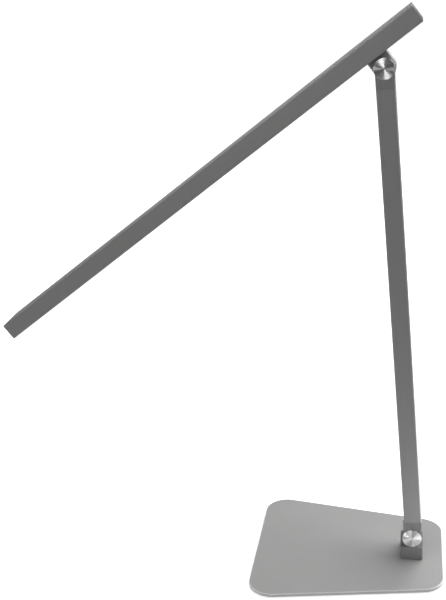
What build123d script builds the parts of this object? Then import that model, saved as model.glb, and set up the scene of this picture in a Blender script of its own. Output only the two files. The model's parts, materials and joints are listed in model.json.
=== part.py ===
from build123d import *
import os
from math import cos, radians, sin

os.makedirs("parts", exist_ok=True)

# A slim desk lamp: a flat steel base, a straight arm on a friction hinge and a straight light bar
# on a second friction hinge. The origin lies on the desk under the lower hinge. The light bar's long
# end points to -X, +Y is the rear and +Z is up. All sizes are in millimetres.

# Standing pose, in degrees
ARM_LEAN = 4.5  # from the vertical, towards the long end of the light bar
HEAD_SLOPE = 37.4  # long end below the horizontal

# Base plate and pad
PAD_THICKNESS = 1.0
PAD_MARGIN = 2.0
PLATE_THICKNESS = 3.0
PLATE_WIDE_X = -130.9
PLATE_WIDE_DEPTH = 157.5
PLATE_NARROW_X = 26.1
PLATE_NARROW_DEPTH = 103.0
PLATE_CORNER = 19.0
PLATE_BEVEL = 0.6
PLATE_UNDER_BEVEL = 0.3
PLATE_TOP = PAD_THICKNESS + PLATE_THICKNESS

# Hinges: a round-ended tongue between the two cheeks of a fork
PIVOT_HEIGHT = 24.5
TONGUE_WIDTH = 17.0  # of the light bar's lug
FOOT_TONGUE_WIDTH = 14.0
TONGUE_HALF = 6.0
TONGUE_EDGE = 0.6
CHEEK_INNER = 6.5
CHEEK_OUTER = 12.6
FORK_SLOT = 9.2  # from the pivot to the bottom of the slot
FORK_SHOULDER = 15.0  # from the pivot to the end of the tube
FORK_PLUG = 20.0
FORK_EDGE = 0.4
LEAD_WAY_RADIUS = 3.0
FOOT_WIDTH = 18.4
FOOT_HALF_DEPTH = 13.0
FOOT_CORNER = 1.6
FOOT_UNDERCUT = (0.7, 0.9)  # inwards and upwards, round the foot's lower edge
FOOT_CLEARANCE = 0.5  # between the caps and the top of the foot
FOOT_CHAMBER = (14.0, 5.6, 10.0)  # hollow under the foot, where the cord meets the leads
FOOT_CHAMBER_CORNER = 1.0
GROOVE_RADIUS = 5.0  # floor of the groove that carries the leads round the tongue's end
GROOVE_WIDTH = 4.2
LEAD_HOLE_RADIUS = 1.0
LEAD_HOLE_SPACING = 9.8

# Pivot hardware, along the hinge axis
BARREL_RADIUS = 3.0
RUNNING_GAP = 0.05
SEAT_RADIUS = 5.5
SEAT_LEVEL = 8.8  # floor of the seat in each cheek
BARREL_HEAD_RADIUS = 5.0
BARREL_HEAD = 1.6
BARREL_END = 8.6
CLAMP_RADIUS = 1.95
CLAMP_DEPTH = 13.0
CLAMP_HEAD = 1.2
SPRING_HEIGHT = 0.6
SPRING_SHEET = 0.38
WASHER_RADIUS = 6.4
CAP_RADIUS = 7.8
CAP_THICKNESS = 1.2
CAP_EDGE = 0.35
CAP_SPIGOT = 1.0

# Arm
ARM_SPAN = 386.5  # between the hinge axes
ARM_OFFSET = 1.5  # of the tube from the lower hinge axis
ARM_WIDTH = 14.0
ARM_DEPTH = 26.0
ARM_WALL = 1.4
ARM_CORNER = 1.0
LEAD_RADIUS = 0.9

# Light bar
HEAD_LENGTH = 410.5
HEAD_OVERHANG = 41.0  # behind the upper hinge
HEAD_LIFT = 9.9  # from the hinge axis to the underside
HEAD_WIDTH = 32.0
HEAD_HEIGHT = 14.0
HEAD_CORNER = 1.0
HEAD_WALL = 1.5
HEAD_ROOF = 1.6
LIP_WIDTH = 1.2
LIP_THICKNESS = 1.0
TRACK_WIDTH = 1.2
TRACK_THICKNESS = 1.0
RIB_WIDTH = 4.5
RIB_HEIGHT = 3.4
RIB_SPACING = 12.0
BOARD_THICKNESS = 1.5
BOARD_GAP = 1.0  # between the board's end and the lug's flange
FIT_GAP = 0.08
END_CAP = 2.5
DIFFUSER_THICKNESS = 2.0
CHIP_COLUMNS = 40
CHIP_ROWS = 2
CHIP_PITCH = 8.6
CHIP_ROW_SPACING = 9.0
CHIP_SIZE = (3.5, 2.8)
CHIP_HEIGHT = 0.7

# Lug and rear cover under the short end
FLANGE_LENGTH = 38.0
FLANGE_WIDTH = 26.2
FLANGE_LEVEL = 14.1
COVER_START = -16.0
COVER_THICKNESS = 1.6
COVER_RECESS = 0.1
COVER_TAB = (5.0, 28.2)
COVER_TAB_SPACING = 42.0
LUG_SCREW_SPACING = 27.0
BUTTON_X = 28.5
BUTTON_RADIUS = 4.2
BUTTON_GAP = 0.2
BUTTON_PROUD = 0.4
BUTTON_EDGE = 0.35
BUTTON_FLANGE = 0.7
BUTTON_RIM = 1.0
BUTTON_TRAVEL = 0.7
SWITCH_SIZE = 6.0
SWITCH_CORNER = 0.3
SWITCH_PLUNGER = 1.5
DRIVER_LENGTH = 18.0

# Screws and cord bush
PLATE_SCREW = (2.0, 4.0, 12.0)  # shank radius, head radius, length
PLATE_SCREW_SPACING = 9.6
PLATE_SCREW_Y = -4.2
FORK_SCREW = (1.5, 2.8, 9.0)
FORK_SCREW_FROM_PIVOT = 27.0
LUG_SCREW = (1.5, 2.8, 7.4)
LUG_SCREW_HEAD = 1.8
SCREW_GAP = 0.03
DRIVE_RADIUS = 1.1
DRIVE_DEPTH = 1.0
BUSH_HEIGHT = 10.4
BUSH_RADIUS = 4.0
BUSH_FLANGE = (4.8, 0.8)  # radius, thickness
BUSH_EDGE = 0.4
BUSH_DEPTH = 8.0
CORD_RADIUS = 2.6

# Frames of the foot, of the arm from each hinge, and of the light bar
lean = radians(ARM_LEAN)
slope = radians(HEAD_SLOPE)
arm_across = Vector(cos(lean), 0, sin(lean))
arm_up = Vector(-sin(lean), 0, cos(lean))
lower_pivot = Vector(0, 0, PIVOT_HEIGHT)
tube_foot = lower_pivot + arm_across * ARM_OFFSET
upper_pivot = tube_foot + arm_up * ARM_SPAN
foot_frame = Plane(origin=lower_pivot)
lower_arm = Plane(origin=tube_foot, x_dir=arm_across, z_dir=arm_up)
upper_arm = Plane(origin=upper_pivot, x_dir=-arm_across, z_dir=-arm_up)
head = Plane(origin=upper_pivot, x_dir=(cos(slope), 0, sin(slope)), z_dir=(-sin(slope), 0, cos(slope)))

# Heights inside the light bar, above its hinge axis
head_left = HEAD_OVERHANG - HEAD_LENGTH
lip_top = HEAD_LIFT + LIP_THICKNESS
roof = HEAD_LIFT + HEAD_HEIGHT - HEAD_ROOF
rib_level = roof - RIB_HEIGHT
board_level = rib_level - BOARD_THICKNESS - FIT_GAP
track_level = board_level - FIT_GAP - TRACK_THICKNESS
cover_bottom = HEAD_LIFT + COVER_RECESS
cover_top = cover_bottom + COVER_THICKNESS
cover_end = HEAD_OVERHANG - END_CAP - FIT_GAP


def keep(builder, name):
    """Labels a finished piece and writes its file."""
    builder.part.label = name
    export_step(builder.part, f"parts/{name}.step")


def side(frame):
    """The plane through a hinge that faces the front, with its Y along the frame's own Z."""
    return Plane(origin=frame.origin, x_dir=frame.x_dir, z_dir=(0, -1, 0))


def facing(pivot, sign, level):
    """A plane square to a hinge axis that faces outwards, to the front (-1) or to the rear (+1)."""
    return Plane(origin=pivot + Vector(0, sign * level, 0), x_dir=(1, 0, 0), z_dir=(0, sign, 0))


def under(x, level):
    """A plane inside the light bar that faces down, at a place along it and a height."""
    return Plane(origin=head.from_local_coords((x, 0, level)), x_dir=head.x_dir, z_dir=-head.z_dir)


def section(x):
    """A plane across the light bar, with its Y as height above the hinge axis."""
    return Plane(origin=head.from_local_coords((x, 0, 0)), x_dir=(0, 1, 0), z_dir=head.x_dir)


def plate_outline(level, margin):
    """The base's trapezoid with round corners, drawn in by a margin."""
    with BuildSketch(Plane.XY.offset(level)) as outline:
        with BuildLine():
            Polyline(
                (PLATE_WIDE_X, -PLATE_WIDE_DEPTH / 2),
                (PLATE_NARROW_X, -PLATE_NARROW_DEPTH / 2),
                (PLATE_NARROW_X, PLATE_NARROW_DEPTH / 2),
                (PLATE_WIDE_X, PLATE_WIDE_DEPTH / 2),
                close=True,
            )
        make_face()
        fillet(outline.vertices(), PLATE_CORNER)
        if margin:
            offset(amount=-margin, mode=Mode.REPLACE)
    return outline.sketch


def countersunk_screw(plane, size):
    """A screw whose flat head lies on a plane and whose shank runs into it, with a hexagon drive."""
    shank, rim, length = size
    with BuildPart() as screw:
        with BuildSketch(plane):
            Circle(rim)
        extrude(amount=-(rim - shank), taper=45)
        with BuildSketch(plane):
            Circle(shank)
        extrude(amount=-length)
        with BuildSketch(plane):
            RegularPolygon(DRIVE_RADIUS, 6)
        extrude(amount=-DRIVE_DEPTH, mode=Mode.SUBTRACT)
    return screw.part


def groove_outline(frame, end):
    """Half a ring round a hinge, past the end of the tongue: above the axis (MIN) or below it (MAX)."""
    with BuildSketch(side(frame)) as groove:
        Circle(TONGUE_WIDTH)
        Circle(GROOVE_RADIUS, mode=Mode.SUBTRACT)
        Rectangle(2 * TONGUE_WIDTH, TONGUE_WIDTH, align=(Align.CENTER, end), mode=Mode.INTERSECT)
    return groove.sketch


# Base plate, with countersunk holes from below
plate_screws = Plane(origin=(0, PLATE_SCREW_Y, PAD_THICKNESS), x_dir=(1, 0, 0), z_dir=(0, 0, -1))
with BuildPart() as base_plate:
    extrude(plate_outline(PAD_THICKNESS, 0), amount=PLATE_THICKNESS)
    chamfer(base_plate.faces().sort_by(Axis.Z)[-1].edges(), PLATE_BEVEL)
    chamfer(base_plate.faces().sort_by(Axis.Z)[0].edges(), PLATE_UNDER_BEVEL)
    with Locations(plate_screws):
        with GridLocations(PLATE_SCREW_SPACING, 0, 2, 1):
            CounterSinkHole(PLATE_SCREW[0] + SCREW_GAP, PLATE_SCREW[1] + SCREW_GAP, counter_sink_angle=90)
keep(base_plate, "base_plate")

# Anti-slip pad, which also covers the screw heads
with BuildPart() as base_pad:
    extrude(plate_outline(0, PAD_MARGIN), amount=PAD_THICKNESS)
keep(base_pad, "base_pad")

# Foot and tongue of the lower hinge: a round-topped tongue on a wider foot that is undercut where it
# meets the plate, with a groove round its top and holes down to a chamber for the leads
foot_top = PIVOT_HEIGHT - CAP_RADIUS - FOOT_CLEARANCE
bush_plane = facing(Vector(0, 0, BUSH_HEIGHT), 1, FOOT_HALF_DEPTH)
with BuildPart() as hinge_block:
    with BuildSketch(side(foot_frame)):
        Circle(FOOT_TONGUE_WIDTH / 2)
        Rectangle(FOOT_TONGUE_WIDTH, PIVOT_HEIGHT - PLATE_TOP, align=(Align.CENTER, Align.MAX))
    extrude(amount=TONGUE_HALF, both=True)
    chamfer(hinge_block.edges().filter_by(GeomType.CIRCLE), TONGUE_EDGE)
    with BuildSketch(Plane.XY.offset(foot_top)):
        RectangleRounded(FOOT_WIDTH, 2 * FOOT_HALF_DEPTH, FOOT_CORNER)
    extrude(amount=PLATE_TOP + FOOT_UNDERCUT[1] - foot_top)
    with BuildSketch(Plane.XY.offset(foot_top)):
        RectangleRounded(
            FOOT_WIDTH - 2 * FOOT_UNDERCUT[0],
            2 * (FOOT_HALF_DEPTH - FOOT_UNDERCUT[0]),
            FOOT_CORNER - FOOT_UNDERCUT[0],
        )
    extrude(amount=PLATE_TOP - foot_top)
    with Locations(facing(lower_pivot, 1, TONGUE_HALF)):
        Hole(BARREL_RADIUS + RUNNING_GAP, 2 * TONGUE_HALF)
    extrude(groove_outline(foot_frame, Align.MIN), amount=GROOVE_WIDTH / 2, both=True, mode=Mode.SUBTRACT)
    with BuildSketch(Plane.XY.offset(PLATE_TOP)):
        with Locations((0, FOOT_HALF_DEPTH - BUSH_DEPTH - FOOT_CHAMBER[1] / 2)):
            RectangleRounded(FOOT_CHAMBER[0], FOOT_CHAMBER[1], FOOT_CHAMBER_CORNER)
    extrude(amount=FOOT_CHAMBER[2], mode=Mode.SUBTRACT)
    with Locations(foot_frame):
        with GridLocations(LEAD_HOLE_SPACING, 0, 2, 1):
            Hole(LEAD_HOLE_RADIUS, PIVOT_HEIGHT - PLATE_TOP - FOOT_CHAMBER[2] / 2)
    with Locations(bush_plane):
        Hole(BUSH_RADIUS + SCREW_GAP, BUSH_DEPTH)
    with Locations(plate_screws.offset(-PLATE_THICKNESS)):
        with GridLocations(PLATE_SCREW_SPACING, 0, 2, 1):
            Hole(PLATE_SCREW[0] + SCREW_GAP, PLATE_SCREW[2] - PLATE_THICKNESS + SCREW_GAP)
keep(hinge_block, "hinge_block")

with BuildPart() as block_screws:
    for spread in (-1, 1):
        centre = plate_screws.from_local_coords((spread * PLATE_SCREW_SPACING / 2, 0, 0))
        add(countersunk_screw(Plane(origin=centre, z_dir=plate_screws.z_dir), PLATE_SCREW))
keep(block_screws, "block_screws")

# Bush where the cord enters the rear of the foot
with BuildPart() as cord_bush:
    with BuildSketch(bush_plane):
        Circle(BUSH_RADIUS)
    extrude(amount=-BUSH_DEPTH)
    with BuildSketch(bush_plane):
        Circle(BUSH_FLANGE[0])
    extrude(amount=BUSH_FLANGE[1])
    chamfer(cord_bush.faces().sort_by(Axis.Y)[-1].edges(), BUSH_EDGE)
    with Locations(bush_plane.offset(BUSH_FLANGE[1])):
        Hole(CORD_RADIUS)
keep(cord_bush, "cord_bush")


def fork(frame, pivot):
    """An end fitting of the arm: two cheeks, round at the pivot, a web and a plug inside the tube."""
    with BuildPart() as fitting:
        with BuildSketch(side(frame)):
            with Locations((frame.to_local_coords(pivot).X, 0)):
                Circle(ARM_WIDTH / 2)
            with Locations((0, FORK_SHOULDER)):
                Rectangle(ARM_WIDTH, FORK_SHOULDER - FORK_SLOT, align=(Align.CENTER, Align.MAX))
            make_hull()
        extrude(amount=CHEEK_OUTER, both=True)
        chamfer(fitting.edges().filter_by(GeomType.CIRCLE), FORK_EDGE)
        with BuildSketch(side(frame)):
            with Locations((0, FORK_SLOT)):
                Rectangle(2 * ARM_WIDTH, 2 * ARM_WIDTH, align=(Align.CENTER, Align.MAX))
        extrude(amount=CHEEK_INNER, both=True, mode=Mode.SUBTRACT)
        with BuildSketch(frame.offset(FORK_SHOULDER)):
            RectangleRounded(
                ARM_WIDTH - 2 * ARM_WALL - FIT_GAP,
                ARM_DEPTH - 2 * ARM_WALL - FIT_GAP,
                ARM_CORNER / 2,
            )
        extrude(amount=FORK_PLUG)
        with Locations(frame.offset(FORK_SHOULDER + FORK_PLUG)):
            Hole(LEAD_WAY_RADIUS, FORK_SHOULDER + FORK_PLUG - FORK_SLOT)
        for sign in (-1, 1):
            with Locations(facing(pivot, sign, CHEEK_OUTER)):
                CounterBoreHole(
                    BARREL_RADIUS + RUNNING_GAP,
                    SEAT_RADIUS,
                    CHEEK_OUTER - SEAT_LEVEL,
                    depth=CHEEK_OUTER - CHEEK_INNER,
                )
        with Locations(fork_screw_plane(frame)):
            Hole(FORK_SCREW[0] + SCREW_GAP, FORK_SCREW[2] + SCREW_GAP)
    return fitting


def fork_screw_plane(frame):
    """The plane on the arm's rear face where a fork's screw goes in."""
    on_axis = frame.from_local_coords((0, 0, FORK_SCREW_FROM_PIVOT))
    return Plane(origin=on_axis + Vector(0, ARM_DEPTH / 2, 0), x_dir=arm_across, z_dir=(0, 1, 0))


keep(fork(lower_arm, lower_pivot), "lower_fork")
keep(fork(upper_arm, upper_pivot), "upper_fork")

# Arm tube, with a countersunk hole at each end of its rear face
with BuildPart() as arm_tube:
    with BuildSketch(lower_arm.offset(FORK_SHOULDER)):
        RectangleRounded(ARM_WIDTH, ARM_DEPTH, ARM_CORNER)
        RectangleRounded(
            ARM_WIDTH - 2 * ARM_WALL,
            ARM_DEPTH - 2 * ARM_WALL,
            ARM_CORNER / 2,
            mode=Mode.SUBTRACT,
        )
    extrude(amount=ARM_SPAN - 2 * FORK_SHOULDER)
    for frame in (lower_arm, upper_arm):
        with Locations(fork_screw_plane(frame)):
            CounterSinkHole(
                FORK_SCREW[0] + SCREW_GAP,
                FORK_SCREW[1] + SCREW_GAP,
                depth=2 * ARM_WALL,
                counter_sink_angle=90,
            )
keep(arm_tube, "arm_tube")

with BuildPart() as fork_screws:
    for frame in (lower_arm, upper_arm):
        add(countersunk_screw(fork_screw_plane(frame), FORK_SCREW))
keep(fork_screws, "fork_screws")

# Twin lead inside the tube, from one fork's slot to the other
lead_start = FORK_SLOT + FIT_GAP
with BuildPart() as arm_lead:
    with BuildSketch(lower_arm.offset(lead_start)):
        with GridLocations(0, 2 * LEAD_RADIUS + FIT_GAP, 1, 2):
            Circle(LEAD_RADIUS)
    extrude(amount=ARM_SPAN - 2 * lead_start)
keep(arm_lead, "arm_lead")


def hinge_hardware(pivot, prefix):
    """The clamped pivot of one hinge: barrel, screw, washers and the spun caps that cover it."""
    front_seat = facing(pivot, -1, SEAT_LEVEL)
    axis = Axis(pivot, (0, 1, 0))

    with BuildPart() as barrel:
        with BuildSketch(front_seat):
            Circle(BARREL_HEAD_RADIUS)
        extrude(amount=BARREL_HEAD)
        with BuildSketch(front_seat):
            Circle(BARREL_RADIUS)
        extrude(amount=-(SEAT_LEVEL + BARREL_END))
        with Locations(facing(pivot, 1, BARREL_END)):
            Hole(CLAMP_RADIUS + RUNNING_GAP, CLAMP_DEPTH)
    keep(barrel, f"{prefix}_pivot_barrel")

    clamp_seat = facing(pivot, 1, SEAT_LEVEL + SPRING_HEIGHT)
    with BuildPart() as clamp:
        with BuildSketch(clamp_seat):
            Circle(BARREL_HEAD_RADIUS)
        extrude(amount=CLAMP_HEAD)
        with BuildSketch(clamp_seat):
            Circle(CLAMP_RADIUS)
        extrude(amount=-CLAMP_DEPTH)
        with BuildSketch(clamp_seat.offset(CLAMP_HEAD)):
            RegularPolygon(DRIVE_RADIUS, 6)
        extrude(amount=-DRIVE_DEPTH, mode=Mode.SUBTRACT)
    keep(clamp, f"{prefix}_pivot_screw")

    with BuildPart() as washers:
        for sign in (-1, 1):
            with BuildSketch(facing(pivot, sign, TONGUE_HALF + RUNNING_GAP)):
                Circle(WASHER_RADIUS)
                Circle(BARREL_RADIUS + RUNNING_GAP, mode=Mode.SUBTRACT)
            extrude(amount=CHEEK_INNER - TONGUE_HALF - RUNNING_GAP)
    keep(washers, f"{prefix}_friction_washers")

    with BuildPart() as spring:
        with BuildSketch(Plane(origin=pivot)):
            with BuildLine():
                Polyline(
                    (BARREL_RADIUS, SEAT_LEVEL + SPRING_HEIGHT - SPRING_SHEET),
                    (BARREL_HEAD_RADIUS, SEAT_LEVEL),
                    (BARREL_HEAD_RADIUS, SEAT_LEVEL + SPRING_SHEET),
                    (BARREL_RADIUS, SEAT_LEVEL + SPRING_HEIGHT),
                    close=True,
                )
            make_face()
        revolve(axis=axis)
    keep(spring, f"{prefix}_spring_washer")

    for sign, place in ((-1, "front"), (1, "rear")):
        cheek = facing(pivot, sign, CHEEK_OUTER)
        with BuildPart() as cap:
            with BuildSketch(cheek):
                Circle(CAP_RADIUS)
            extrude(amount=CAP_THICKNESS)
            chamfer(cap.faces().sort_by(Axis(pivot, (0, sign, 0)))[-1].edges(), CAP_EDGE)
            with BuildSketch(cheek):
                Circle(SEAT_RADIUS - SCREW_GAP)
            extrude(amount=-CAP_SPIGOT)
        keep(cap, f"{prefix}_{place}_cap")


hinge_hardware(lower_pivot, "lower")
hinge_hardware(upper_pivot, "upper")


def channel_space(x, gap):
    """The hollow of the light bar: cavity and slot between its lips, less its tracks and screw ribs."""
    inner = HEAD_WIDTH - 2 * HEAD_WALL
    with BuildSketch(section(x)) as space:
        with Locations((0, lip_top + gap)):
            Rectangle(inner - 2 * gap, roof - lip_top - 2 * gap, align=(Align.CENTER, Align.MIN))
        with Locations((0, HEAD_LIFT)):
            Rectangle(inner - 2 * LIP_WIDTH - 2 * gap, HEAD_HEIGHT / 2, align=(Align.CENTER, Align.MIN))
        with Locations((0, track_level + TRACK_THICKNESS / 2)):
            with GridLocations(inner - TRACK_WIDTH, 0, 2, 1):
                Rectangle(TRACK_WIDTH + 2 * gap, TRACK_THICKNESS + 2 * gap, mode=Mode.SUBTRACT)
        with Locations((0, rib_level + RIB_HEIGHT / 2)):
            with GridLocations(RIB_SPACING, 0, 2, 1):
                Rectangle(RIB_WIDTH + 2 * gap, RIB_HEIGHT + 2 * gap, mode=Mode.SUBTRACT)
    return space.sketch


# Extruded housing of the light bar, with holes for the lug's screws in its ribs
with BuildPart() as head_housing:
    with BuildSketch(section(head_left)):
        with Locations((0, HEAD_LIFT + HEAD_HEIGHT / 2)):
            RectangleRounded(HEAD_WIDTH, HEAD_HEIGHT, HEAD_CORNER)
    extrude(amount=HEAD_LENGTH)
    extrude(channel_space(head_left, 0), amount=HEAD_LENGTH, mode=Mode.SUBTRACT)
    with Locations(under(0, rib_level)):
        with GridLocations(LUG_SCREW_SPACING, RIB_SPACING, 2, 2):
            Hole(LUG_SCREW[0] + SCREW_GAP, RIB_HEIGHT)
keep(head_housing, "head_housing")

for name, start in (("left_end_cap", head_left), ("right_end_cap", HEAD_OVERHANG - END_CAP)):
    with BuildPart() as end_cap:
        extrude(channel_space(start, FIT_GAP), amount=END_CAP)
    keep(end_cap, name)

# Opal strip on the lips
diffuser_left = head_left + END_CAP + FIT_GAP
diffuser_length = COVER_START - FIT_GAP - diffuser_left
with BuildPart() as diffuser:
    with BuildSketch(head.offset(lip_top + FIT_GAP)):
        with Locations((diffuser_left, 0)):
            Rectangle(
                diffuser_length,
                HEAD_WIDTH - 2 * HEAD_WALL - 2 * FIT_GAP,
                align=(Align.MIN, Align.CENTER),
            )
    extrude(amount=DIFFUSER_THICKNESS)
keep(diffuser, "diffuser")

# Board with the light-emitting packages, on the tracks
board_width = HEAD_WIDTH - 2 * HEAD_WALL - 2 * FIT_GAP
board_right = -FLANGE_LENGTH / 2 - BOARD_GAP
board_length = board_right - diffuser_left
with BuildPart() as led_board:
    with BuildSketch(head.offset(board_level)):
        with Locations((diffuser_left, 0)):
            Rectangle(board_length, board_width, align=(Align.MIN, Align.CENTER))
    extrude(amount=BOARD_THICKNESS)
keep(led_board, "led_board")

with BuildPart() as led_chips:
    with BuildSketch(under(diffuser_left + board_length / 2, board_level)):
        with GridLocations(CHIP_PITCH, CHIP_ROW_SPACING, CHIP_COLUMNS, CHIP_ROWS):
            Rectangle(*CHIP_SIZE)
    extrude(amount=CHIP_HEIGHT)
keep(led_chips, "led_chips")

# Lug of the upper hinge: the same round-ended tongue under a flange that screws to the ribs
lug_screw_seat = FLANGE_LEVEL + LUG_SCREW_HEAD + FIT_GAP
with BuildPart() as head_lug:
    with BuildSketch(side(head)):
        Circle(TONGUE_WIDTH / 2)
        Rectangle(TONGUE_WIDTH, rib_level, align=(Align.CENTER, Align.MIN))
    extrude(amount=TONGUE_HALF, both=True)
    chamfer(head_lug.edges().filter_by(GeomType.CIRCLE), TONGUE_EDGE)
    with BuildSketch(head.offset(FLANGE_LEVEL)):
        RectangleRounded(FLANGE_LENGTH, FLANGE_WIDTH, ARM_CORNER)
    extrude(amount=rib_level - FLANGE_LEVEL)
    with Locations(facing(upper_pivot, 1, TONGUE_HALF)):
        Hole(BARREL_RADIUS + RUNNING_GAP, 2 * TONGUE_HALF)
    extrude(groove_outline(head, Align.MAX), amount=GROOVE_WIDTH / 2, both=True, mode=Mode.SUBTRACT)
    with Locations(under(0, 0)):
        with GridLocations(LEAD_HOLE_SPACING, 0, 2, 1):
            Hole(LEAD_HOLE_RADIUS, rib_level)
    with Locations(under(0, FLANGE_LEVEL)):
        with GridLocations(LUG_SCREW_SPACING, RIB_SPACING, 2, 2):
            CounterBoreHole(
                LUG_SCREW[0] + SCREW_GAP,
                LUG_SCREW[1] + SCREW_GAP,
                lug_screw_seat - FLANGE_LEVEL,
            )
keep(head_lug, "head_lug")

with BuildPart() as lug_screws:
    with BuildSketch(under(0, lug_screw_seat)):
        with GridLocations(LUG_SCREW_SPACING, RIB_SPACING, 2, 2):
            Circle(LUG_SCREW[1])
    extrude(amount=LUG_SCREW_HEAD)
    with BuildSketch(under(0, lug_screw_seat)):
        with GridLocations(LUG_SCREW_SPACING, RIB_SPACING, 2, 2):
            Circle(LUG_SCREW[0])
    extrude(amount=-(LUG_SCREW[2] - LUG_SCREW_HEAD))
    with BuildSketch(under(0, lug_screw_seat - LUG_SCREW_HEAD)):
        with GridLocations(LUG_SCREW_SPACING, RIB_SPACING, 2, 2):
            RegularPolygon(DRIVE_RADIUS, 6)
    extrude(amount=-DRIVE_DEPTH, mode=Mode.SUBTRACT)
keep(lug_screws, "lug_screws")

# Clip-in cover round the lug, with the button's hole
cover_width = HEAD_WIDTH - 2 * (HEAD_WALL + LIP_WIDTH + FIT_GAP)
with BuildPart() as rear_cover:
    with BuildSketch(head.offset(cover_bottom)):
        with Locations((COVER_START, 0)):
            Rectangle(cover_end - COVER_START, cover_width, align=(Align.MIN, Align.CENTER))
        Rectangle(TONGUE_WIDTH + 2 * BUTTON_GAP, 2 * (TONGUE_HALF + BUTTON_GAP), mode=Mode.SUBTRACT)
        with Locations((BUTTON_X, 0)):
            Circle(BUTTON_RADIUS + BUTTON_GAP, mode=Mode.SUBTRACT)
    extrude(amount=COVER_THICKNESS)
    with BuildSketch(head.offset(lip_top + FIT_GAP)):
        with Locations(((COVER_START + cover_end) / 2, 0)):
            with GridLocations(COVER_TAB_SPACING, cover_width, 2, 2):
                Rectangle(COVER_TAB[0], COVER_TAB[1] - cover_width)
    extrude(amount=cover_top - lip_top - FIT_GAP)
keep(rear_cover, "rear_cover")

# Driver board and its switch above the button
with BuildPart() as driver_board:
    with BuildSketch(head.offset(board_level)):
        with Locations((cover_end, 0)):
            Rectangle(DRIVER_LENGTH, board_width, align=(Align.MAX, Align.CENTER))
    extrude(amount=BOARD_THICKNESS)
keep(driver_board, "driver_board")

button_top = cover_top + RUNNING_GAP + BUTTON_FLANGE
plunger_level = button_top + BUTTON_TRAVEL + FIT_GAP
switch_level = (plunger_level + board_level) / 2
with BuildPart() as tact_switch:
    with BuildSketch(under(BUTTON_X, board_level)):
        RectangleRounded(SWITCH_SIZE, SWITCH_SIZE, SWITCH_CORNER)
    extrude(amount=board_level - switch_level)
    with BuildSketch(under(BUTTON_X, switch_level)):
        Circle(SWITCH_PLUNGER)
    extrude(amount=switch_level - plunger_level)
keep(tact_switch, "tact_switch")

# Push button, held in by its flange
with BuildPart() as power_button:
    with BuildSketch(under(BUTTON_X, button_top)):
        Circle(BUTTON_RADIUS + BUTTON_RIM)
    extrude(amount=BUTTON_FLANGE)
    with BuildSketch(under(BUTTON_X, button_top)):
        Circle(BUTTON_RADIUS)
    extrude(amount=button_top - HEAD_LIFT + BUTTON_PROUD)
    chamfer(power_button.faces().sort_by(Axis(head.origin, head.z_dir))[0].edges(), BUTTON_EDGE)
keep(power_button, "power_button")
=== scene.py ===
import json
from math import asin, atan2, pi, radians

import bpy
import numpy as np
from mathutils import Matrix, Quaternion, Vector


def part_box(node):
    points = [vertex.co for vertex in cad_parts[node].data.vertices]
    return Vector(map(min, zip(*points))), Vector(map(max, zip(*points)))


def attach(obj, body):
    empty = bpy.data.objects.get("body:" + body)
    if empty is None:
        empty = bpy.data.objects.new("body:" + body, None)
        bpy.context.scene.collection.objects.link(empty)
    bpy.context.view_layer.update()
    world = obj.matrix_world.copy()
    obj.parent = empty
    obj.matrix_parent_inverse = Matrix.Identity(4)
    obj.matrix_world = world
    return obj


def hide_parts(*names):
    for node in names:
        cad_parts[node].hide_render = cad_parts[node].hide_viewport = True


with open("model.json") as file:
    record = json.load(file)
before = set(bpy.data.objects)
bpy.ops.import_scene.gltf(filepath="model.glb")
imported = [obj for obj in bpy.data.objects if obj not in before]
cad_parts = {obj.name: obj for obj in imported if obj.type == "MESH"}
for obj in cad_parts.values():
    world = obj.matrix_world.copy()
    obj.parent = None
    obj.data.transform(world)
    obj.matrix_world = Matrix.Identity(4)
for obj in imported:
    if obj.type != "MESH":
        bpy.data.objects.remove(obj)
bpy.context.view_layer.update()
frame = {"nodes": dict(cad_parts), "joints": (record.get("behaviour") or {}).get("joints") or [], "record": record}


def node_points(name):
    """The vertices of a CAD node, one row each."""
    vertices = frame["nodes"][name].data.vertices
    flat = np.empty(3 * len(vertices), np.float32)
    vertices.foreach_get("co", flat)
    return flat.reshape(-1, 3)


# The lamp's own directions, read from its joints
joints = {joint["name"]: joint for joint in frame["joints"]}
lower_pivot = np.array(joints["arm_tilt"]["pos_m"])
upper_pivot = np.array(joints["head_tilt"]["pos_m"])
head_up = np.array(joints["button_push"]["axis"])
head_along = np.array((head_up[2], 0.0, -head_up[0]))
head_slope = asin(-head_up[0])
arm_lean = atan2(lower_pivot[0] - upper_pivot[0], upper_pivot[2] - lower_pivot[2])

# Places that the finishes need, read from the nodes
plate_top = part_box("base_plate")[1][2]
bar_reach = node_points("head_housing") @ head_along
bar_ends = (float(bar_reach.min()), float(bar_reach.max()))

# Camera, fitted to the photograph's perspective
CAMERA_PLACE = (-0.00880, -0.80085, 0.51481)
CAMERA_YAW = radians(-10.311)
CAMERA_PITCH = radians(19.507)
CAMERA_ROLL = radians(2.064)
CAMERA_LENS = 64.458
CAMERA_SENSOR = 36.0
CAMERA_NEAR = 0.01

# Floor: its size, what the eye sees of it, and how its glow grows with the distance from the lamp
FLOOR_RADIUS = 6.0
FLOOR_SIDES = 96
FLOOR_DROP = 0.0002
FLOOR_SEEN = 0.9
FLOOR_GLOW_NEAR = 0.60
FLOOR_GLOW_FAR = 1.00
FLOOR_NEAR = 0.3
FLOOR_FAR = 1.6

# What the lamp's metal gets back from the floor: a glowing sheet round the foot, and strips beside it
FLOOR_BOUNCE = 0.1
SHEET_GLOW = 0.80
SHEET_EDGE = 0.12
DARK_GLOW = 0.04
DARK_EDGE = 0.55
STRIP_FRONT = (-0.16, -0.10)
STRIPS = (
    # side, glow, where it starts, where it fades
    (-1.0, 1.6, (0.14, 0.15), (0.35, 0.60)),
    (1.0, 2.7, (0.027, 0.029), (0.055, 0.11)),
)

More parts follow.
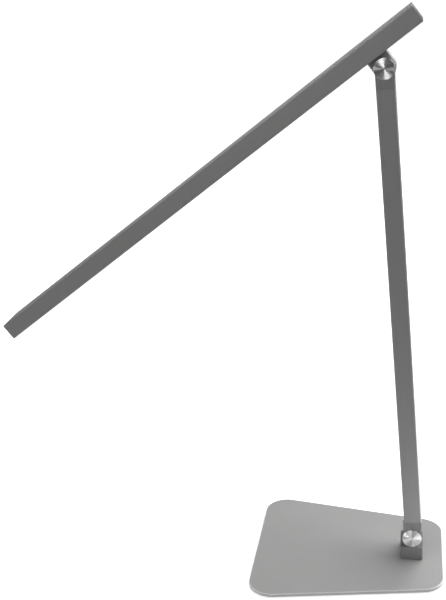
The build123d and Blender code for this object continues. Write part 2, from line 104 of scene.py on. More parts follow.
# Room and lights
ROOM_WHITE = 1.0
ROOM_GREY = 0.05
LIGHTS = (
    # name, place, aim, width, height, watts, spread in degrees
    ("right_key", (0.98, 0.68, 1.15), (0.0, 0.0, 0.05), 2.4, 1.8, 40.0, 180.0),
    ("left_front_box", (-0.60, -0.70, 1.30), (-0.02, 0.0, 0.20), 1.2, 1.2, 5.5, 180.0),
    ("left_card", (-0.45, -0.30, 0.024), (0.0, -0.013, 0.024), 0.34, 0.044, 0.018, 14.0),
    ("left_wall", (-1.70, -1.00, 0.30), (0.0, 0.0, 0.25), 1.2, 0.6, 5.5, 180.0),
    ("right_wall", (1.70, -1.00, 0.30), (0.0, 0.0, 0.25), 1.2, 0.6, 2.5, 180.0),
    ("back_card", (0.0, 1.60, 0.55), (0.0, 0.0, 0.35), 2.6, 1.0, 5.0, 180.0),
    ("disc_strip", (-0.38, -1.33, 1.00), (-0.03, 0.0, 0.41), 0.60, 0.9, 0.45, 40.0),
    ("left_fill", (-1.60, 0.75, 0.30), (-0.10, 0.0, 0.30), 1.4, 0.6, 3.0, 180.0),
    ("bar_end_card", (-0.50, 0.50, 0.75), (0.14, 0.0, 0.49), 0.3, 0.3, 0.045, 30.0),
    ("right_fill", (1.60, 0.75, 0.30), (0.0, 0.0, 0.25), 1.4, 0.6, 3.0, 180.0),
)

# Blender's numbers for the sockets of a Mix node that blends colours
MIX_SHARE = 0
MIX_FIRST = 6
MIX_SECOND = 7
MIX_COLOUR = 2

# Patterns of the finishes: grains in a metre, or rings on a cap's outline, then detail and harshness
FLAKES = (5200.0, 3.0, 0.7)
CLOUDS = (28.0, 3.0, 0.5)
MOTTLE = (900.0, 3.0, 0.5)
ORANGE_PEEL = (2600.0, 2.0, 0.5)
HAIR_LINES = (5200.0, 3.0, 0.6)
ETCHING = (6400.0, 2.0, 0.5)
PIMPLES = (3400.0, 4.0, 0.65)
TURNING_RINGS = (90.0, 4.0, 0.7)
ZINC_PATCHES = (700.0, 3.0, 0.5)
OPAL_HAZE = (2200.0, 3.0, 0.5)
MOULD_DETAIL = 3.0
MOULD_HARSHNESS = 0.6

# Shades of the finishes: pairs of a place in the pattern and the share of the finish's level there
FLAKE_SHADES = ((0.30, 0.86), (0.55, 1.0), (0.75, 1.16))
CLOUD_SHADES = ((0.25, 0.96), (0.75, 1.04))
HAIR_LINE_SHADES = ((0.28, 0.93), (0.72, 1.07))
ETCHING_SHADES = ((0.30, 0.90), (0.70, 1.10))
PIMPLE_SHADES = ((0.25, 0.82), (0.75, 1.18))
RING_SHADES = ((0.25, 0.90), (0.75, 1.06))
CLOUD_SHARE = 0.5
ETCHING_SHARE = 0.4

# Places in the pattern of the two colours of a moulded or opal face
TWO_COLOURS = (0.3, 0.7)

# Zinc plating: place in the pattern, share of the level and warmth, for the dull and the bright patches
ZINC_DULL = (0.3, 0.85, -0.02)
ZINC_BRIGHT = (0.7, 1.1, 0.01)
ZINC_ROUGHNESS = (0.24, 0.42)

# Opal acrylic: its two greys, its warmth, its roughness, and how light goes into it
OPAL_GREYS = (0.74, 0.82)
OPAL_WARMTH = 0.008
OPAL_ROUGHNESS = (0.42, 0.55)
OPAL_INNER_LIGHT = 0.35
OPAL_INNER_REACH = 0.002
OPAL_BENDING = 1.49

# How far the roughness goes to either side of its middle
MOTTLE_SWING = 0.05
HAIR_LINE_SWING = 0.06
PIMPLE_SWING = 0.08
RING_SWING = 0.06
MOULD_SWING = 0.06

# Relief: its real depth, and how strongly it tilts the shading
PEEL_RELIEF = (0.00002, 0.35)
HAIR_LINE_RELIEF = (0.000012, 0.3)
PIMPLE_RELIEF = (0.00004, 0.4)
RING_RELIEF = (0.000008, 0.4)
HAZE_RELIEF = (0.00001, 0.3)
MOULD_RELIEF = 0.5

# Worn edges: how far they reach, how soon they show, and their shade against the faces. The drawn extrusions use
# the same mask for painted shade on the arm's edges and a painted highlight on the light bar's edges
EDGE_SAMPLES = 4
PLATE_EDGES = (0.0006, 2.2)
PLATE_EDGE_SHADE = 1.35
DRAWN_EDGES = (0.0006, 1.6)
CAST_EDGES = (0.0005, 1.8)
CAST_EDGE_SHADE = 1.7

# The plate's bevel: its height, the shares of it where its painted highlight is full, and that highlight's shade
PLATE_BEVEL = 0.0006
BEVEL_HIGHLIGHT_FULL = (0.1, 0.8)
BEVEL_HIGHLIGHT_SHADE = 1.7

# Drawn metal: how far its grain is stretched, how metallic it is, and the depth and shade of the painted shade on
# its ends
DRAWN_STRETCH = 60.0
DRAWN_METAL = 0.25
END_SHADE_BAND = 0.0004
END_SHADE_LEVEL = 0.25

# Cast metal under its coat
CAST_METAL = 0.15

# Spun caps: their edge, dome, turning grooves and spigot, and the quarter turn of their highlight
CAP_EDGE = 0.00015
CAP_DOME = 0.00030
CAP_GROOVE = 0.000006
CAP_GROOVES = 26
CAP_SPIGOT = 0.0010
CAP_SPIGOT_SHARE = 0.68
CAP_TURNS = 160
CAP_STEPS = 130
CAP_BRUSHING = 0.25

# Push button: the flange behind the cover, the rounded edge and the dished face
BUTTON_RIM = 0.0010
BUTTON_FLANGE = 0.0007
BUTTON_EDGE = 0.00045
BUTTON_DISH = 0.00025
BUTTON_TURNS = 96
BUTTON_EDGE_STEPS = 9
BUTTON_FACE_STEPS = 24
BUTTON_CORNER = radians(40.0)

# Anti-slip pad: its corners' radius, its softened edge, and how close points at one place lie
PAD_RADIUS = 0.0170
PAD_SOFT_EDGE = 0.00045
PAD_CORNER_STEPS = 24
PAD_EDGE_STEPS = 8
SAME_PLACE = 0.00001


def add_node(tree, kind, inputs=None, **settings):
    """Adds a shader node, sets its options, and sets or links its inputs."""
    made = tree.nodes.new("ShaderNode" + kind)
    for name, value in settings.items():
        setattr(made, name, value)
    for name, value in (inputs or {}).items():
        if isinstance(value, bpy.types.NodeSocket):
            tree.links.new(value, made.inputs[name])
        else:
            made.inputs[name].default_value = value
    return made


def new_finish(name, **sockets):
    """Starts a material: its node tree and its main shader, with constants on the shader's sockets."""
    material = bpy.data.materials.new(name)
    material.use_nodes = True
    tree = material.node_tree
    shader = tree.nodes["Principled BSDF"]
    for socket, value in sockets.items():
        shader.inputs[socket.replace("_", " ")].default_value = value
    return material, tree, shader


def grey(level, warmth=0.0):
    """A near neutral colour, with red raised and blue lowered by the warmth."""
    return (level * (1 + warmth), level, level * (1 - warmth), 1.0)


def greys(low, high, warmth=0.0):
    """The two colours between which a finish varies."""
    return grey(low, warmth), grey(high, warmth)


def piece_coordinates(tree, turn=0.0, stretch=(1.0, 1.0, 1.0)):
    """The piece's own coordinates, turned back about Y and shortened along each axis by its stretch."""
    own = add_node(tree, "TexCoord").outputs["Object"]
    turned = add_node(
        tree,
        "Mapping",
        {"Vector": own, "Rotation": (0.0, -turn, 0.0), "Scale": stretch},
        vector_type="TEXTURE",
    )
    return turned.outputs["Vector"]


def noise(tree, vector, pattern):
    """A cloud of values round one half, from a pattern's count, detail and harshness."""
    count, detail, harshness = pattern
    made = add_node(
        tree,
        "TexNoise",
        {"Vector": vector, "Scale": count, "Detail": detail, "Roughness": harshness},
    )
    return made.outputs["Fac"]


def ramp(tree, value, *stops):
    """A colour that follows a value through pairs of place and colour."""
    made = add_node(tree, "ValToRGB", {"Fac": value})
    points = made.color_ramp.elements
    for point, (place, colour) in zip((points[0], points[1]), (stops[0], stops[-1])):
        point.position = place
        point.color = colour
    for place, colour in stops[1:-1]:
        points.new(place).color = colour
    return made.outputs["Color"]


def shaded(tree, value, level, warmth, shades):
    """Greys that follow a value, from pairs of place and share of the level."""
    return ramp(tree, value, *((place, grey(level * share, warmth)) for place, share in shades))


def spread(tree, value, low, high, start=0.0, stop=1.0):
    """A value carried to a range: low where it is at the start, high where it is at the stop."""
    ends = {"From Min": start, "From Max": stop, "To Min": low, "To Max": high}
    return add_node(tree, "MapRange", {"Value": value, **ends}).outputs["Result"]


def work_out(tree, operation, *values, **settings):
    """The result of one sum on sockets and numbers."""
    made = add_node(tree, "Math", dict(enumerate(values)), operation=operation, **settings)
    return made.outputs["Value"]


def edge_wear_and_painted_light(tree, radius, gain):
    """A mask that is one on sharp edges, from how far a rounded normal leaves the true one."""
    rounded = add_node(tree, "Bevel", {"Radius": radius}, samples=EDGE_SAMPLES).outputs["Normal"]
    true = add_node(tree, "NewGeometry").outputs["Normal"]
    both = {0: rounded, 1: true}
    agree = add_node(tree, "VectorMath", both, operation="DOT_PRODUCT").outputs["Value"]
    lost = work_out(tree, "SUBTRACT", 1.0, agree)
    return work_out(tree, "MULTIPLY", lost, gain, use_clamp=True)


def blend_colours(tree, share, first, second):
    """The first colour, giving way to the second as the share goes from 0 to 1."""
    inputs = {MIX_SHARE: share, MIX_FIRST: first, MIX_SECOND: second}
    return add_node(tree, "Mix", inputs, data_type="RGBA").outputs[MIX_COLOUR]


def colour_face(tree, shader, colour):
    """Lets a colour pattern colour the face."""
    tree.links.new(colour, shader.inputs["Base Color"])


def roughen(tree, shader, pattern, low, high):
    """Lets a pattern carry the roughness from low to high."""
    tree.links.new(spread(tree, pattern, low, high), shader.inputs["Roughness"])


def relief(tree, shader, height, depth, strength):
    """Lets a height pattern tilt the shading, with its real depth in metres."""
    made = add_node(tree, "Bump", {"Height": height, "Strength": strength, "Distance": depth})
    tree.links.new(made.outputs["Normal"], shader.inputs["Normal"])


def flake_coat(name, level, roughness, metal, top, warmth=0.004):
    """Satin metallic coat: fine flakes, faint clouding, a little orange peel and thin pale edges.
    The bevel under the piece's top is painted paler, a painted highlight along it.
    """
    material, tree, shader = new_finish(name, Metallic=metal)
    own = piece_coordinates(tree)
    flakes = shaded(tree, noise(tree, own, FLAKES), level, warmth, FLAKE_SHADES)
    clouds = shaded(tree, noise(tree, own, CLOUDS), level, warmth, CLOUD_SHADES)
    coat = blend_colours(tree, CLOUD_SHARE, flakes, clouds)
    edges = edge_wear_and_painted_light(tree, *PLATE_EDGES)
    colour = blend_colours(tree, edges, coat, grey(level * PLATE_EDGE_SHADE, warmth))
    # painted highlight: a paler line on the bevel just under the piece's top
    height = add_node(tree, "SeparateXYZ", {"Vector": own}).outputs["Z"]
    full_from, full_to = (top - share * PLATE_BEVEL for share in BEVEL_HIGHLIGHT_FULL)
    over_wall = spread(tree, height, 0.0, 1.0, top - PLATE_BEVEL, full_to)
    under_top = spread(tree, height, 1.0, 0.0, full_from, top)
    bevel = work_out(tree, "MULTIPLY", over_wall, under_top)
    colour = blend_colours(tree, bevel, colour, grey(level * BEVEL_HIGHLIGHT_SHADE, warmth))
    colour_face(tree, shader, colour)
    mottle = noise(tree, own, MOTTLE)
    roughen(tree, shader, mottle, roughness - MOTTLE_SWING, roughness + MOTTLE_SWING)
    relief(tree, shader, noise(tree, own, ORANGE_PEEL), *PEEL_RELIEF)
    return material


def drawn_anodising(name, level, roughness, turn, stretch, rim, painted_shade_ends=None, warmth=0.004):
    """Satin anodised extrusion: hair lines along the die's direction over a very fine etched grain.
    Its sharp edges have the level times the rim, painted shade where the rim is below one and a painted
    highlight where it is above. Its ends, given by their places along the piece, carry painted shade.
    """
    material, tree, shader = new_finish(name, Metallic=DRAWN_METAL)
    own = piece_coordinates(tree)
    lines = noise(tree, piece_coordinates(tree, turn, stretch), HAIR_LINES)
    drawn = shaded(tree, lines, level, warmth, HAIR_LINE_SHADES)
    etched = shaded(tree, noise(tree, own, ETCHING), level, warmth, ETCHING_SHADES)
    coat = blend_colours(tree, ETCHING_SHARE, drawn, etched)
    edges = edge_wear_and_painted_light(tree, *DRAWN_EDGES)
    # painted light on the edges: painted shade where the rim is below one, a painted highlight where it is above
    colour = blend_colours(tree, edges, coat, grey(level * rim, warmth))
    # painted shade: the bar's ends are darkened in a narrow band so they stay dark
    if painted_shade_ends:
        start, stop = painted_shade_ends
        half = (stop - start) / 2
        along = add_node(tree, "SeparateXYZ", {"Vector": piece_coordinates(tree, turn)}).outputs["X"]
        from_middle = work_out(tree, "ABSOLUTE", work_out(tree, "SUBTRACT", along, (start + stop) / 2))
        end_shade_mask = spread(tree, from_middle, 0.0, 1.0, half - END_SHADE_BAND, half - END_SHADE_BAND / 2)
        colour = blend_colours(tree, end_shade_mask, colour, grey(level * END_SHADE_LEVEL, warmth))
    colour_face(tree, shader, colour)
    roughen(tree, shader, lines, roughness - HAIR_LINE_SWING, roughness + HAIR_LINE_SWING)
    relief(tree, shader, lines, *HAIR_LINE_RELIEF)
    return material


def cast_coat(name, level, roughness, warmth=0.006):
    """Die-cast piece under a fine dark textured coat, paler where its edges are handled."""
    material, tree, shader = new_finish(name, Metallic=CAST_METAL)
    pimples = noise(tree, piece_coordinates(tree), PIMPLES)
    coat = shaded(tree, pimples, level, warmth, PIMPLE_SHADES)
    edges = edge_wear_and_painted_light(tree, *CAST_EDGES)
    colour_face(tree, shader, blend_colours(tree, edges, coat, grey(level * CAST_EDGE_SHADE, warmth)))
    roughen(tree, shader, pimples, roughness - PIMPLE_SWING, roughness + PIMPLE_SWING)
    relief(tree, shader, pimples, *PIMPLE_RELIEF)
    return material


def spun_steel(name, level, roughness, warmth=0.006):
    """Steel turned on a lathe: bright bands that fan out from the centre, over fine rings."""
    sockets = {"Metallic": 1.0, "Anisotropic": 1.0, "Anisotropic_Rotation": CAP_BRUSHING}
    material, tree, shader = new_finish(name, **sockets)
    turning = add_node(tree, "UVMap", uv_map="turning").outputs["UV"]
    outline_share = add_node(tree, "SeparateXYZ", {"Vector": turning}).outputs["Y"]
    outwards = add_node(tree, "CombineXYZ", {"Y": outline_share}).outputs["Vector"]
    rings = noise(tree, outwards, TURNING_RINGS)
    colour_face(tree, shader, shaded(tree, rings, level, warmth, RING_SHADES))
    roughen(tree, shader, rings, roughness - RING_SWING, roughness + RING_SWING)
    around = add_node(tree, "Tangent", direction_type="UV_MAP", uv_map="turning").outputs["Tangent"]
    tree.links.new(around, shader.inputs["Tangent"])
    relief(tree, shader, rings, *RING_RELIEF)
    return material


def plated_steel(name, level):
    """Zinc plated steel: dull cool patches among bright warm ones."""
    material, tree, shader = new_finish(name, Metallic=1.0)
    patches = noise(tree, piece_coordinates(tree), ZINC_PATCHES)
    stops = ((place, grey(level * share, warmth)) for place, share, warmth in (ZINC_DULL, ZINC_BRIGHT))
    colour_face(tree, shader, ramp(tree, patches, *stops))
    roughen(tree, shader, patches, *ZINC_ROUGHNESS)
    return material


def moulded(name, colours, roughness, grains, depth, gloss=0.5):
    """Moulded plastic or rubber: an even spark-eroded grain with a slight shift of shade."""
    material, tree, shader = new_finish(name, Specular_IOR_Level=gloss)
    grain = noise(tree, piece_coordinates(tree), (grains, MOULD_DETAIL, MOULD_HARSHNESS))
    colour_face(tree, shader, ramp(tree, grain, *zip(TWO_COLOURS, colours)))
    roughen(tree, shader, grain, roughness - MOULD_SWING, roughness + MOULD_SWING)
    relief(tree, shader, grain, depth, MOULD_RELIEF)
    return material


def opal_acrylic(name):
    """Frosted opal strip: light spreads inside it, and its face has a fine etched grain."""
    light = {"Subsurface_Weight": OPAL_INNER_LIGHT, "Subsurface_Scale": OPAL_INNER_REACH}
    material, tree, shader = new_finish(name, IOR=OPAL_BENDING, **light)
    haze = noise(tree, piece_coordinates(tree), OPAL_HAZE)
    colours = greys(*OPAL_GREYS, OPAL_WARMTH)
    colour_face(tree, shader, ramp(tree, haze, *zip(TWO_COLOURS, colours)))
    roughen(tree, shader, haze, *OPAL_ROUGHNESS)
    relief(tree, shader, haze, *HAZE_RELIEF)
    return material


# The two colours of the light packages
PHOSPHOR = ((0.78, 0.62, 0.18, 1.0), (0.88, 0.76, 0.34, 1.0))

# Moulded slots: the material's name, its two colours, roughness, grains in a metre and the grain's depth
MOULDINGS = {
    "pad_rubber": ("pad_rubber", greys(0.035, 0.055), 0.85, 1500.0, 0.00008),
    "black_rubber": ("black_rubber", greys(0.022, 0.034), 0.62, 2600.0, 0.00003),
    "lead_insulation": ("lead_insulation", greys(0.62, 0.72), 0.5, 1800.0, 0.00002),
    "grey_plastic": ("grey_plastic", greys(0.20, 0.25), 0.52, 4200.0, 0.00003),
    "board": ("board_white", greys(0.74, 0.82), 0.4, 1200.0, 0.00001),
    "chip": ("chip_phosphor", PHOSPHOR, 0.4, 1600.0, 0.00002),
    "washer_plastic": ("washer_plastic", greys(0.70, 0.78), 0.45, 2000.0, 0.00001),
    "black_plastic": ("black_plastic", greys(0.025, 0.04), 0.45, 3000.0, 0.00002),
    "button_plastic": ("button_plastic", greys(0.08, 0.12), 0.42, 4200.0, 0.00002),
}

# The same for the light bar's end plugs, with less gloss, and darker than their slot's colour: painted shade that
# keeps the bar's ends dark
END_PLUG_PAINTED_SHADE = (greys(0.055, 0.075), 0.60, 4200.0, 0.00003, 0.1)

# Finishes of the record's slots
SLOT_FINISHES = {
    "grey_steel": flake_coat("grey_steel_coat", level=0.378, roughness=0.54, metal=0.15, top=plate_top),
    "cast_grey": cast_coat("cast_grey_coat", level=0.172, roughness=0.52),
    "spun_steel": spun_steel("spun_steel", level=0.90, roughness=0.40),
    "screw_steel": plated_steel("screw_steel", level=0.55),
    "opal_acrylic": opal_acrylic("opal_acrylic"),
    **{slot: moulded(*values) for slot, values in MOULDINGS.items()},
}

# Finishes of single nodes: the extrusions, each drawn its own way, and cast pieces given shades of their own,
# which are painted light and shade
NODE_FINISHES = {
    "arm_tube": drawn_anodising(
        "arm_anodised",
        level=0.25,
        roughness=0.44,
        turn=arm_lean,
        stretch=(1.0, 1.0, DRAWN_STRETCH),
        # painted shade: the arm's edges darker than its faces
        rim=0.8,
    ),
    "head_housing": drawn_anodising(
        "head_anodised",
        level=0.265,
        roughness=0.44,
        turn=head_slope,
        stretch=(DRAWN_STRETCH, 1.0, 1.0),
        # painted highlight: the light bar's edges paler than its faces
        rim=1.3,
        # painted shade on the light bar's ends
        painted_shade_ends=bar_ends,
    ),
    # painted shade: the two forks share one cast coat, the lower one darker than the upper
    "upper_fork": cast_coat("upper_fork_lit_coat", level=0.21, roughness=0.46),
    "lower_fork": cast_coat("lower_fork_shaded_coat", level=0.175, roughness=0.50),
    # painted light: the lug is far paler than its slot's cast coat, lifting the shade under the bar
    "head_lug": cast_coat("head_lug_lightened_coat", level=0.40, roughness=0.46),
    "left_end_cap": moulded("left_end_plug", *END_PLUG_PAINTED_SHADE),
    "right_end_cap": moulded("right_end_plug", *END_PLUG_PAINTED_SHADE),
}


def dress_nodes():
    """Gives each carried-over node its own finish, or else the finish of its slot."""
    for part in frame["record"]["subparts"]:
        node = part["node"]
        mesh = frame["nodes"][node].data
        mesh.materials.clear()
        mesh.materials.append(NODE_FINISHES.get(node) or SLOT_FINISHES[part["material_slot"]])


def ring_walls(rings, turns, first=0):
    """Faces between neighbouring rings of a grid that is closed round its first parameter: each joins a
    point, the next one round, and the same two on the next ring. The grid's points start at the first.
    """
    here = np.arange(turns)
    following = (here + 1) % turns
    row = first + np.arange(rings - 1)[:, None] * turns
    walls = np.stack((row + here, row + following, row + turns + following, row + turns + here), -1)
    return walls.reshape(-1, 4).tolist()


def turned_piece(name, centre, out, along, radius, turns):
    """A body of revolution. The first parameter runs round the axis and the second along the outline:
    a point is the centre, plus the outline's height along the axis, plus its radius times the direction
    of that angle. The outline starts and ends on the axis, where one vertex closes each pole. The UV map
    holds both parameters, as shares of a turn and of the outline's length.
    """
    side = np.cross(out, (1.0, 0.0, 0.0))
    side /= np.linalg.norm(side)
    up = np.cross(side, out)
    here = np.arange(turns)
    following = (here + 1) % turns
    angles = here * 2 * pi / turns
    rays = np.cos(angles)[:, None] * up + np.sin(angles)[:, None] * side
    grid = centre + along[1:-1, None, None] * out + radius[1:-1, None, None] * rays
    points = np.concatenate(([centre + along[0] * out], grid.reshape(-1, 3), [centre + along[-1] * out]))
    rings = len(along) - 2
    last_ring = 1 + (rings - 1) * turns
    last_pole = np.full_like(here, len(points) - 1)
    start_fan = np.stack((np.zeros_like(here), 1 + following, 1 + here), -1)
    end_fan = np.stack((last_pole, last_ring + here, last_ring + following), -1)
    faces = start_fan.tolist() + ring_walls(rings, turns, 1) + end_fan.tolist()
    mesh = bpy.data.meshes.new(name)
    mesh.from_pydata(points.tolist(), [], faces)
    mesh.validate()
    length = np.concatenate(([0.0], np.cumsum(np.hypot(np.diff(along), np.diff(radius)))))
    share = length / length[-1]
    low = np.broadcast_to(share[1:-2, None], (rings - 1, turns))
    high = np.broadcast_to(share[2:-1, None], (rings - 1, turns))
    wall_round = np.broadcast_to(np.stack((here, here + 1, here + 1, here), -1), (rings - 1, turns, 4))
    wall_along = np.stack((low, low, high, high), -1)
    start_round = np.stack((here + 0.5, here + 1, here), -1)
    start_along = np.broadcast_to((share[0], share[1], share[1]), (turns, 3))
    end_round = np.stack((here + 0.5, here, here + 1), -1)
    end_along = np.broadcast_to((share[-1], share[-2], share[-2]), (turns, 3))
    u = np.concatenate((start_round.ravel(), wall_round.ravel(), end_round.ravel())) / turns
    v = np.concatenate((start_along.ravel(), wall_along.ravel(), end_along.ravel()))
    layer = mesh.uv_layers.new(name="turning")
    layer.data.foreach_set("uv", np.stack((u, v), -1).astype(np.float32).ravel())
    mesh.polygons.foreach_set("use_smooth", np.ones(len(faces), bool))
    piece = bpy.data.objects.new(name, mesh)
    bpy.context.scene.collection.objects.link(piece)
    return piece


def spun_cap(node):
    """A hinge cap turned from steel. Its outline is a spigot, a flange, a wall, a fine edge, and a face
    that rises to the centre as a parabola, with a cosine wave of fine turning rings on it.
    """
    low, high = (np.array(corner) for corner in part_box(node))
    front = node.endswith("front_cap")
    out = np.array((0.0, -1.0 if front else 1.0, 0.0))
    middle = (low + high) / 2
    inner_end = high[1] if front else low[1]
    centre = np.array((middle[0], inner_end + CAP_SPIGOT * out[1], middle[2]))
    thickness = high[1] - low[1] - CAP_SPIGOT
    wall_top = thickness - CAP_DOME - CAP_EDGE
    cap_radius = (high[0] - low[0]) / 2
    spigot_radius = cap_radius * CAP_SPIGOT_SHARE
    share = np.linspace(1.0, 0.0, CAP_STEPS)
    wave = CAP_GROOVE * np.cos(2 * pi * CAP_GROOVES * share)
    face_along = thickness - CAP_DOME * share**2 - CAP_GROOVE + wave
    face_along[0] = thickness - CAP_DOME - CAP_GROOVE
    face_radius = (cap_radius - CAP_EDGE) * share
    along = np.concatenate(([-CAP_SPIGOT, -CAP_SPIGOT, 0.0, 0.0, wall_top], face_along))
    radius = np.concatenate(([0.0, spigot_radius, spigot_radius, cap_radius, cap_radius], face_radius))
    return turned_piece(node + "_spun", centre, out, along, radius, CAP_TURNS)


def make_caps():
    """Replaces the four plain caps with turned ones that ride on the arm."""
    for hinge in ("lower", "upper"):
        for place in ("front", "rear"):
            node = f"{hinge}_{place}_cap"
            cap = spun_cap(node)
            cap.data.materials.append(SLOT_FINISHES["spun_steel"])
            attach(cap, "arm")
            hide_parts(node)


def make_button():
    """Replaces the plain button with a turned one, whose rim is rounded and whose face is dished for a
    fingertip. Its outline is a flange, a wall, a quarter circle over the rim and a parabola to the centre.
    """
    plain = node_points("power_button") - upper_pivot
    from_hinge = plain @ head_along
    heights = plain @ head_up
    flange_radius = plain[:, 1].max()
    wall_radius = flange_radius - BUTTON_RIM
    middle = (from_hinge.min() + from_hinge.max()) / 2
    inner_end = upper_pivot + middle * head_along + heights.max() * head_up
    length = heights.max() - heights.min()
    quarter = np.linspace(0.0, pi / 2, BUTTON_EDGE_STEPS)
    rim_along = length - BUTTON_EDGE * (1 - np.sin(quarter))
    rim_radius = wall_radius - BUTTON_EDGE * (1 - np.cos(quarter))
    share = np.linspace(1.0, 0.0, BUTTON_FACE_STEPS)[1:]
    face_along = length - BUTTON_DISH * (1 - share**2)
    face_radius = (wall_radius - BUTTON_EDGE) * share
    along = np.concatenate(([0.0, 0.0, BUTTON_FLANGE, BUTTON_FLANGE], rim_along, face_along))
    radius = np.concatenate(([0.0, flange_radius, flange_radius, wall_radius], rim_radius, face_radius))
    button = turned_piece("power_button_dished", inner_end, -head_up, along, radius, BUTTON_TURNS)
    button.data.set_sharp_from_angle(angle=BUTTON_CORNER)
    button.data.materials.append(SLOT_FINISHES["button_plastic"])
    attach(button, "button")
    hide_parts("power_button")


def make_pad():
    """Replaces the plain pad with a foam sheet whose edges are soft. The first parameter runs round the
    outline and the second along the edge's profile: a point is the centre of the nearest corner, plus the
    corner's radius less the profile's inset along the direction of that angle, at the profile's height.
    The sides are the straight lines between the corners.
    """
    low, high = (np.array(corner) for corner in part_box("base_pad"))
    plain = node_points("base_pad")
    wide_y = plain[plain[:, 0] < low[0] + SAME_PLACE, 1].max()
    narrow_y = plain[plain[:, 0] > high[0] - SAME_PLACE, 1].max()
    narrow_corner = np.array((high[0] - PAD_RADIUS, narrow_y))
    wide_corner = np.array((low[0] + PAD_RADIUS, wide_y))
    rear_side = narrow_corner - wide_corner
    rear_angle = atan2(rear_side[0], -rear_side[1])
    limits = np.array((0.0, rear_angle, pi, 2 * pi - rear_angle, 2 * pi))
    angles = np.linspace(limits[:-1], limits[1:], PAD_CORNER_STEPS).T.ravel()
    to_front = np.array((1.0, -1.0))
    corners = np.array((narrow_corner, wide_corner, wide_corner * to_front, narrow_corner * to_front))
    centres = np.repeat(corners, PAD_CORNER_STEPS, 0)
    directions = np.stack((np.cos(angles), np.sin(angles)), -1)
    quarter = np.linspace(0.0, pi / 2, PAD_EDGE_STEPS)
    lower_inset = PAD_SOFT_EDGE * (1 - np.sin(quarter))
    lower_height = low[2] + PAD_SOFT_EDGE * (1 - np.cos(quarter))
    inset = np.concatenate((lower_inset, lower_inset[::-1]))
    height = np.concatenate((lower_height, (low[2] + high[2] - lower_height)[::-1]))
    flat = centres + (PAD_RADIUS - inset)[:, None, None] * directions
    grid = np.concatenate((flat, np.broadcast_to(height[:, None, None], flat.shape[:2] + (1,))), -1)
    rings, turns = grid.shape[:2]
    round_outline = np.arange(turns)
    underside = round_outline[::-1].tolist()
    top = ((rings - 1) * turns + round_outline).tolist()
    faces = [underside] + ring_walls(rings, turns) + [top]
    mesh = bpy.data.meshes.new("base_pad_foam")
    mesh.from_pydata(grid.reshape(-1, 3).tolist(), [], faces)
    mesh.validate()
    mesh.polygons.foreach_set("use_smooth", np.arange(len(faces)) % (len(faces) - 1) > 0)
    mesh.materials.append(SLOT_FINISHES["pad_rubber"])
    pad = bpy.data.objects.new("base_pad_foam", mesh)
    bpy.context.scene.collection.objects.link(pad)
    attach(pad, "base")
    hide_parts("base_pad")


def make_camera():
    """Stands the camera where the lamp is seen as in the photograph."""
    look = Vector((0.0, 1.0, 0.0))
    look.rotate(Quaternion((1.0, 0.0, 0.0), -CAMERA_PITCH))
    look.rotate(Quaternion((0.0, 0.0, 1.0), -CAMERA_YAW))
    roll = Quaternion((0.0, 0.0, 1.0), -CAMERA_ROLL)
    lens = bpy.data.cameras.new("camera")
    lens.lens = CAMERA_LENS
    lens.sensor_width = CAMERA_SENSOR
    lens.clip_start = CAMERA_NEAR
    camera = bpy.data.objects.new("camera", lens)
    camera.location = CAMERA_PLACE
    camera.rotation_mode = "QUATERNION"
    camera.rotation_quaternion = look.to_track_quat("-Z", "Y") @ roll
    bpy.context.scene.collection.objects.link(camera)
    bpy.context.scene.camera = camera


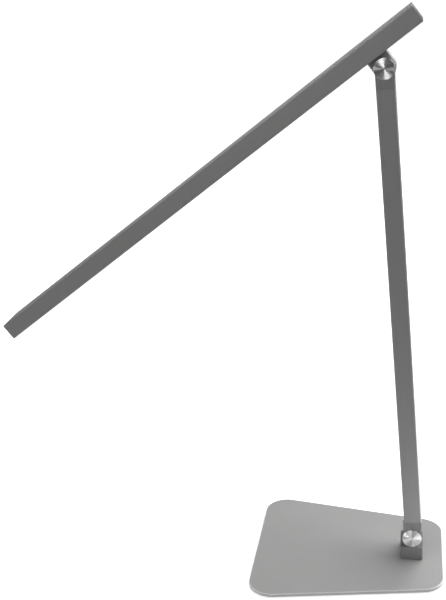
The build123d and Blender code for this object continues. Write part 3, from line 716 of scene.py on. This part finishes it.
def floor_finish():
    """White to the eye. To the lamp it gives back a sheet of light round the foot that dies away, and
    a strip on either side that starts and fades across X and stays behind the front.
    """
    material = bpy.data.materials.new("pale_floor")
    material.use_nodes = True
    tree = material.node_tree
    tree.nodes.remove(tree.nodes["Principled BSDF"])
    own = add_node(tree, "TexCoord").outputs["Object"]
    distance = add_node(tree, "VectorMath", {0: own}, operation="LENGTH").outputs["Value"]
    growing = spread(tree, distance, FLOOR_GLOW_NEAR, FLOOR_GLOW_FAR, FLOOR_NEAR, FLOOR_FAR)
    white = add_node(tree, "BsdfDiffuse", {"Color": grey(FLOOR_SEEN)}).outputs["BSDF"]
    glow = add_node(tree, "Emission", {"Strength": growing}).outputs["Emission"]
    seen = add_node(tree, "AddShader", {0: white, 1: glow}).outputs["Shader"]
    light = spread(tree, distance, SHEET_GLOW, DARK_GLOW, SHEET_EDGE, DARK_EDGE)
    place = add_node(tree, "SeparateXYZ", {"Vector": own})
    behind_front = spread(tree, place.outputs["Y"], 0.0, 1.0, *STRIP_FRONT)
    for side, strength, start, fade in STRIPS:
        sideways = work_out(tree, "MULTIPLY", place.outputs["X"], side)
        begun = spread(tree, sideways, 0.0, 1.0, *start)
        fading = spread(tree, sideways, strength, 0.0, *fade)
        strip = work_out(tree, "MULTIPLY", begun, fading)
        light = work_out(tree, "ADD", light, work_out(tree, "MULTIPLY", strip, behind_front))
    bounce = add_node(tree, "BsdfDiffuse", {"Color": grey(FLOOR_BOUNCE)}).outputs["BSDF"]
    shine = add_node(tree, "Emission", {"Strength": light}).outputs["Emission"]
    given = add_node(tree, "AddShader", {0: bounce, 1: shine}).outputs["Shader"]
    eye = add_node(tree, "LightPath").outputs["Is Camera Ray"]
    either = add_node(tree, "MixShader", {0: eye, 1: given, 2: seen}).outputs["Shader"]
    tree.links.new(either, tree.nodes["Material Output"].inputs["Surface"])
    return material


def make_floor():
    """A round floor just under the pad: a point is the radius times the direction of its angle."""
    angles = np.linspace(0.0, 2 * pi, FLOOR_SIDES, endpoint=False)
    rim = np.stack((np.cos(angles), np.sin(angles)), -1) * FLOOR_RADIUS
    points = np.column_stack((rim, np.full(len(rim), -FLOOR_DROP)))
    mesh = bpy.data.meshes.new("floor")
    mesh.from_pydata(points.tolist(), [], [list(range(len(points)))])
    mesh.materials.append(floor_finish())
    floor = bpy.data.objects.new("floor", mesh)
    bpy.context.scene.collection.objects.link(floor)


def make_room():
    """White behind the lamp, and a dim even room for what the metal reflects."""
    world = bpy.data.worlds.new("studio")
    world.use_nodes = True
    tree = world.node_tree
    tree.nodes.clear()
    eye = add_node(tree, "LightPath").outputs["Is Camera Ray"]
    white, room = (
        add_node(tree, "Background", {"Color": grey(1.0), "Strength": strength}).outputs["Background"]
        for strength in (ROOM_WHITE, ROOM_GREY)
    )
    either = add_node(tree, "MixShader", {0: eye, 1: room, 2: white}).outputs["Shader"]
    output = add_node(tree, "OutputWorld")
    tree.links.new(either, output.inputs["Surface"])
    bpy.context.scene.world = world


def make_lights():
    """Soft boxes, each a rectangle that faces its aim and stays out of the picture."""
    for name, place, aim, width, height, watts, cone in LIGHTS:
        lamp = bpy.data.lights.new(name, "AREA")
        lamp.shape = "RECTANGLE"
        lamp.size = width
        lamp.size_y = height
        lamp.energy = watts
        lamp.spread = radians(cone)
        box = bpy.data.objects.new(name, lamp)
        box.location = place
        box.rotation_mode = "QUATERNION"
        box.rotation_quaternion = (Vector(aim) - Vector(place)).to_track_quat("-Z", "Y")
        box.visible_camera = False
        bpy.context.scene.collection.objects.link(box)


dress_nodes()
make_caps()
make_button()
make_pad()
make_camera()
make_floor()
make_room()
make_lights()
bpy.context.scene.view_settings.view_transform = "Standard"
